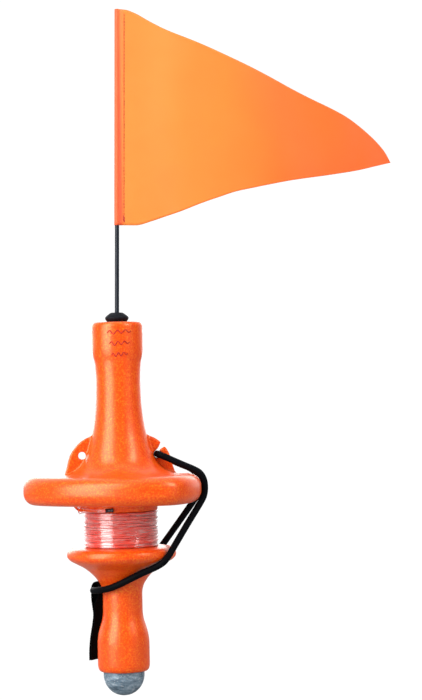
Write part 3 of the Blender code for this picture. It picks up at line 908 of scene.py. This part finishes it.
def winding_line():
    """The wound line's middle: close layers from the barrel outwards, then open crossing turns."""
    random.seed(11)
    per_turn = 28
    span = WINDING_TOP - WINDING_FOOT
    points = []
    for layer in range(CLOSE_LAYERS):
        radius = BARREL_RADIUS + LINE_DIAMETER * (0.55 + layer)
        for k in range(TURNS * per_turn):
            share = k / (TURNS * per_turn)
            down = share if layer % 2 == 0 else 1 - share
            angle = TWO_PI * k / per_turn
            drift = 0.12 * MM * math.sin(angle * 0.31 + layer)
            points.append((radius + drift * 0.3, angle, WINDING_TOP - span * down + drift))
    radius = BARREL_RADIUS + LINE_DIAMETER * (CLOSE_LAYERS + 0.3)
    start, end = points[-1][2], WINDING_TOP
    draws = [random.uniform(0, TWO_PI) for _ in range(2 * len(CROSSING_TURNS))]
    for turns, phase in zip(CROSSING_TURNS, draws[1::2]):
        for k in range(turns * per_turn):
            share = k / (turns * per_turn)
            angle = TWO_PI * k / per_turn
            slack = 0.9 * MM * math.sin(angle * 0.43 + phase) * math.sin(math.pi * share)
            lift = 0.2 * MM * math.sin(angle * 0.77 + phase)
            points.append((radius + lift, angle, start + (end - start) * share + slack))
        start, end = end, (WINDING_FOOT if end == WINDING_TOP else WINDING_TOP)
    return [Vector((r * math.cos(a), r * math.sin(a), z)) for r, a, z in points]


def leader_route():
    face = CRIMP_CENTRE - CRIMP_AXIS * (CRIMP_LENGTH / 2)
    lift = Vector((0, 0, 0.75 * MM))
    out = scaled([
        (-23.4, -26.4, -16.9), (-29.4, -19, -16.5), (-33.8, -11.4, -16.1), (-36.6, -5.6, -15.7),
        (-37.5, -2, -15.4), (-37.5, 2, -15.4), (-37.8, 4, -16.8), (-37.8, 3.8, -19),
        (-37.2, 2, -20.8), (-36.9, 0, -21.2), (-36.5, -2.6, -20.7), (-35.2, -7.6, -20),
        (-31.8, -15.2, -19.3), (-25.2, -24.6, -18.6),
    ])
    return smooth_line([face + lift, *out, face - lift], 0.8 * MM)


def build_line_sleeve():
    def squeezed(angle, distance):
        """Flatter top and bottom, with two jaw marks and a rolled lip at each end."""
        share = distance / CRIMP_LENGTH
        oval = 0.28 * MM * math.cos(2 * angle)
        marks = sum(math.exp(-(((share - at) / 0.07) ** 2)) for at in (0.3, 0.7))
        lips = sum(math.exp(-(((share - at) / 0.06) ** 2)) for at in (0.04, 0.96))
        return oval - 0.3 * MM * marks + 0.12 * MM * lips

    middle = [CRIMP_CENTRE + CRIMP_AXIS * CRIMP_LENGTH * (k / 40 - 0.5) for k in range(41)]
    sleeve = tube("line_sleeve", middle, 1.42 * MM, 28, squeezed)
    return finish_piece(sleeve, crimp_metal(), "float", "crimp_metal", "line_crimp")


def build_line():
    clear = monofilament()
    wound, lead_in = winding_line(), leader_route()
    winding = tube("wound_line", wound, LINE_DIAMETER / 2, 6)
    finish_piece(winding, clear, "float", "line", "line_winding")
    leader = tube("tie_off_line", lead_in, LINE_DIAMETER / 2, 8)
    finish_piece(leader, clear, "float", "line", "line_leader")
    build_line_sleeve()


# ---------------------------------------------------------------- shock cord and tab


def cord_route():
    near = CLAMP_CENTRE - CLAMP_AXIS * (CLAMP_LENGTH / 2)
    far = CLAMP_CENTRE + CLAMP_AXIS * (CLAMP_LENGTH / 2)
    straight = CLAMP_AXIS * CORD_RADIUS * 1.6
    to_tab = scaled([
        (-4.2, 28.4, -84.2), (-9.4, 25.8, -88.2), (-14, 21.3, -90.3), (-16.7, 17.2, -90.3),
        (-19.5, 13.1, -90.3), (-22.2, 9.1, -90.3), (-25, 5, -90.3), (-26.2, 0.2, -90.2),
    ])
    across_front = scaled([
        (-24.6, -5.4, -89.8), (-19.8, -12.8, -88.8), (-12.4, -19.6, -86.7), (-5.4, -24.3, -83.6),
        (2, -27.7, -79.9), (9.4, -30.6, -76.1), (16.4, -32.6, -72.7), (22.7, -34.5, -70),
        (28.5, -36.2, -67.2), (33.9, -38, -63.5), (38.9, -35.9, -57.8), (42.7, -33.8, -52.2),
    ])
    up_to_ear = scaled([
        (56, -26.4, -32.8), (69.8, -18.9, -13.2), (73.4, -17, -6.6), (74.5, -16.1, 0.6), (73.6, -15.5, 7.6),
        (70.3, -14.8, 13.2), (64.6, -13.8, 16.8), (57.5, -12.6, 20), (49.2, -11.2, 23.8),
        (41.6, -9.2, 27.4), (36.8, -8, 29.6), (34.2, -5, 30.7), (33.9, 0, 30.8),
    ])
    down_the_back = scaled([
        (34.2, 5, 30.7), (36.8, 8.2, 29.6), (41.6, 10, 27.4), (49.2, 13, 23.8),
        (57.5, 16.8, 20), (64.6, 19.2, 17), (70.1, 21.2, 13.2), (73.2, 22.8, 7.6),
        (74.2, 23.9, 0.6), (73.2, 25, -6.6), (69.4, 26.6, -13.6), (56, 30.6, -32.6),
        (42.4, 34.8, -51.4), (37.4, 38, -58.4), (31.4, 40.4, -64.6),
    ])
    route = to_tab + across_front + up_to_ear + down_the_back
    return smooth_line([near, near - straight, *route, far + straight, far], 0.55 * MM)


def build_ferrule():
    def crimped(angle, distance):
        """Three jaw marks, deeper on two sides, and ends that are drawn in."""
        share = distance / CLAMP_LENGTH
        marks = sum(math.exp(-(((share - at) / 0.06) ** 2)) for at in (0.22, 0.5, 0.78))
        ends = sum(math.exp(-(((share - at) / 0.03) ** 2)) for at in (0.0, 1.0))
        return -0.55 * MM * marks * (0.6 + 0.4 * math.cos(2 * angle)) - 0.5 * MM * ends

    middle = [CLAMP_CENTRE + CLAMP_AXIS * CLAMP_LENGTH * (k / 60 - 0.5) for k in range(61)]
    ferrule = tube("cord_ferrule", middle, 4.3 * MM, 40, crimped)
    return finish_piece(ferrule, crimp_metal(), "float", "crimp_metal", "cord_clamp")


def build_cord():
    def braid(angle, distance):
        """Strands crossing both ways round the cord, each one over and then under."""
        strands, pitch = 8, 9.5 * MM
        first = math.cos(strands * angle + TWO_PI * distance * strands / pitch / 2)
        second = math.cos(strands * angle - TWO_PI * distance * strands / pitch / 2)
        return 0.09 * MM * (first * second) - 0.05 * MM

    route = cord_route()
    cord = tube("shock_cord_braid", route, CORD_RADIUS, 40, braid)
    finish_piece(cord, cord_fabric(), "float", "cord", "shock_cord")
    build_ferrule()


def tab_line():
    """The strap's middle, up its outer layer, over the cord and down its inner layer, in the tab's frame."""
    outer = scaled([
        (7.5, -63.4), (7.3, -54), (6.2, -44), (5.1, -38), (3.5, -30), (2.5, -22), (3.3, -15), (4.0, -10),
        (4.3, -5),
    ])
    inner = scaled([
        (-3.3, -5), (-0.9, -9.4), (0.9, -13.5), (0.95, -22), (1.95, -30), (3.55, -38), (4.65, -44),
        (5.75, -54), (5.95, -63.4),
    ])
    reach = CORD_RADIUS + 0.45 * MM + STRAP / 2
    fold = []
    for degrees in range(-20, 201, 20):
        angle = math.radians(degrees)
        fold.append((reach * math.cos(angle), reach * math.sin(angle) * FOLD_RISE))
    return smooth_line([(x, 0, z) for x, z in outer + fold + inner], 0.45 * MM)


def strap(name, line):
    """Webbing along a line, its width along Y, with a pick of weave every 2.2 mm."""
    across = 24
    rings = []
    distance = 0.0
    for i, point in enumerate(line):
        if i:
            distance += (point - line[i - 1]).length
        normal = Vector((0, 1, 0)).cross(tangent_at(line, i))
        pick = math.cos(TWO_PI * distance / (2.2 * MM))
        half = TAB_WIDTH / 2 + 0.25 * MM * pick
        top, low = [], []
        for k in range(across + 1):
            share = 2 * k / across - 1
            edge = math.sqrt(max(0.0, 1 - abs(share) ** 8))
            rib = 0.05 * MM * pick * math.cos(share * math.pi * 7)
            thick = STRAP / 2 * (0.35 + 0.65 * edge) + rib - 0.06 * MM
            top.append(point + Vector((0, share * half, 0)) + normal * thick)
            low.append(point + Vector((0, share * half, 0)) - normal * thick)
        rings.append(top + low[::-1])
    return skin(name, rings)


def build_tab():
    tab = placed(strap("webbing_tab", tab_line()), TAB_FRAME)
    finish_piece(tab, webbing_fabric(), None, "webbing", "pull_tab")
    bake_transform(tab)


def box_stitches():
    """Each stitch's two ends, as (y, z): two rows and two sides round a cross."""
    half = TAB_WIDTH / 2 - 2.2 * MM
    stitches = []
    for z in (-11 * MM, -17 * MM):
        for k in range(5):
            start = -half + 2 * half * (k + 0.06) / 5
            end = -half + 2 * half * (k + 0.94) / 5
            stitches.append(((start, z), (end, z)))
    for y in (-half, half):
        stitches += [((y, -11.4 * MM - 2.8 * MM * k), (y, -13.9 * MM - 2.8 * MM * k)) for k in range(2)]
    high, low = -11.2 * MM, -16.8 * MM
    return stitches + [((-half, high), (half, low)), ((half, high), (-half, low))]


def build_tab_stitches():
    paths = []
    for (y1, z1), (y2, z2) in box_stitches():
        path = []
        for k in range(7):
            t = k / 6
            z = z1 + (z2 - z1) * t
            x = 4.25 * MM + 0.11 * (z + 14 * MM)
            path.append(Vector((x + 0.28 * MM * math.sin(math.pi * t), y1 + (y2 - y1) * t, z)))
        paths.append(path)
    stitching = placed(capsules("tab_stitches", paths, 0.24 * MM), TAB_FRAME)
    black = thread("black_stitch", (0.01, 0.01, 0.012), (0.03, 0.03, 0.034))
    finish_piece(stitching, black, "tab", "cord", "tab_stitching")


# ---------------------------------------------------------------- pennant


def edge_curve(points):
    """A smooth edge: the height at any distance from the rod."""
    rows = monotone(scaled(points), 8)
    xs, zs = [r[0] for r in rows], [r[1] for r in rows]
    return lambda x: float(np.interp(x, xs, zs))


LOWER_EDGE = edge_curve([
    (-3, 0), (6.2, 0), (17, 0), (21.5, 0.7), (30, 3.4), (44, 8.2), (57.6, 12.9), (75.8, 20.2), (94, 26.7),
    (108, 31.4), (121.6, 34.4), (140, 38.3), (158.5, 42), (195.5, 48), (221.6, 52.8), (238, 57), (253, 60.9),
])
UPPER_EDGE = edge_curve([
    (-3, 195.3), (6.2, 195.2), (14, 193), (30.2, 184.3), (43.9, 177.3), (75.8, 164.4), (94, 156.6),
    (108, 150.5), (121.7, 144.4), (140, 135.6), (158.6, 126), (177, 117), (195.6, 108.4), (209.6, 101.2),
    (221.7, 93.2), (231, 86), (238.4, 79.7), (247.8, 69.7), (253, 61.1),
])


def billow(x, z):
    """How far the cloth stands towards (minus) or away from (plus) the viewer's side."""
    x_mm, z_mm = x / MM, z / MM
    free = min(1.0, max(0.0, (x_mm - 8) / 60))
    free = free * free * (3 - 2 * free)
    main = -7.5 * math.sin(math.pi * min(1.0, x_mm / 220) ** 0.9)
    cross = 2.2 * math.sin(x_mm / 34 - z_mm / 46 + 0.6) + 1.1 * math.sin(x_mm / 15 + z_mm / 38)
    tip = 6.0 * max(0.0, (x_mm - 190) / 57) ** 2
    return (main + cross * (0.4 + 0.6 * x_mm / 253) + tip) * free * MM


def flag_columns():
    """Where each column of cloth lies, as (x, y) near the rod and the distance that sets its height."""
    hug = POLE_RADIUS + CLOTH
    columns = []
    for k in range(7):  # the lap behind, from its edge to the rod
        x = (7.4 - 0.9 * k) * MM
        share = max(0.0, (SEAM_X - x) / SEAM_X)
        columns.append((x, LAP_Y + (hug - LAP_Y) * share**1.3 * 0.9, SEAM_X))
    for k in range(13):  # round the rod
        angle = math.radians(75 + 210 * k / 12)
        columns.append((hug * math.cos(angle), hug * math.sin(angle), -2 * MM))
    for k in range(7):  # from the rod to the seam, in front
        x = (1.3 + 0.74 * k) * MM
        share = max(0.0, (SEAM_X - x) / SEAM_X)
        columns.append((x, FRONT_Y - (hug - 0.3 * MM) * share**1.3 * 0.9, x))
    steps = 110
    start = 6.6 * MM
    for k in range(steps + 1):  # the free cloth
        x = start + (FLAG_REACH - start) * k / steps
        columns.append((x, FRONT_Y, x))
    return columns


def flag_surface():
    """The pennant's cloth as one surface, in the rod's frame."""
    rows = 84
    bm = bmesh.new()
    grid = []
    for x, y, reach in flag_columns():
        low, high = LOWER_EDGE(reach), UPPER_EDGE(reach)
        line = []
        for k in range(rows + 1):
            z = low + (high - low) * k / rows
            pucker = 0.0
            if 4.4 * MM < x < 9 * MM:
                pucker = 0.12 * MM * math.sin(TWO_PI * z / SEAM_PITCH)
            depth = billow(x, z) if reach == x else 0.0
            line.append(bm.verts.new((x, y + depth + pucker, z + SLEEVE_FOOT)))
        grid.append(line)
    for first, second in zip(grid, grid[1:]):
        for k in range(rows):
            bm.faces.new((first[k], second[k], second[k + 1], first[k + 1]))
    return bm


def stitch(side, z, shift=0.0):
    """One stitch: a short length of thread that rises out of the cloth and goes back in."""
    surface = FRONT_Y - 0.2 * MM if side < 0 else LAP_Y + 0.2 * MM
    path = []
    for k in range(7):
        t = k / 6
        y = surface + side * 0.3 * MM * math.sin(math.pi * t) - side * 0.12 * MM
        path.append(Vector((SEAM_X + shift, y, z + SEAM_PITCH * (0.06 + 0.88 * t))))
    return path


def build_seam(name, side, node, red):
    """A row of stitches beside the rod, with a few back stitches at its foot."""
    count = int((SLEEVE_LENGTH - 5 * MM) / SEAM_PITCH)
    paths = [stitch(side, SLEEVE_FOOT + 2.5 * MM + SEAM_PITCH * k) for k in range(count)]
    paths += [stitch(side, SLEEVE_FOOT + (2.2 + 1.3 * k) * MM, 0.35 * MM * (-1) ** k) for k in range(4)]
    seam = placed(capsules(name, paths, 0.3 * MM), POLE_FRAME)
    return finish_piece(seam, red, "flag", "red_thread", node)


def build_flag():
    cloth = flag_surface()
    area = sum(face.calc_area() for face in cloth.faces)
    flag = placed(new_object("pennant", cloth), POLE_FRAME)
    solid = flag.modifiers.new("cloth", "SOLIDIFY")
    solid.thickness = CLOTH
    solid.offset = 0
    evaluated(flag)
    flag.data.shade_smooth()
    finish_piece(flag, flag_cloth(), "flag", "flag_cloth", "flag")
    red = thread("red_stitch", (0.3, 0.004, 0.004), (0.65, 0.01, 0.01))
    front = build_seam("seam_front", -1, "flag_seam_front", red)
    back = build_seam("seam_back", 1, "flag_seam_back", red)


# ---------------------------------------------------------------- all of it


make_camera()
build_cord()
build_line()
make_room()
make_light()
make_floor()
build_body()
build_engraving()
build_bush()
build_pole()
build_lead()
build_tab()
build_tab_stitches()
build_flag()

bpy.context.view_layer.update()
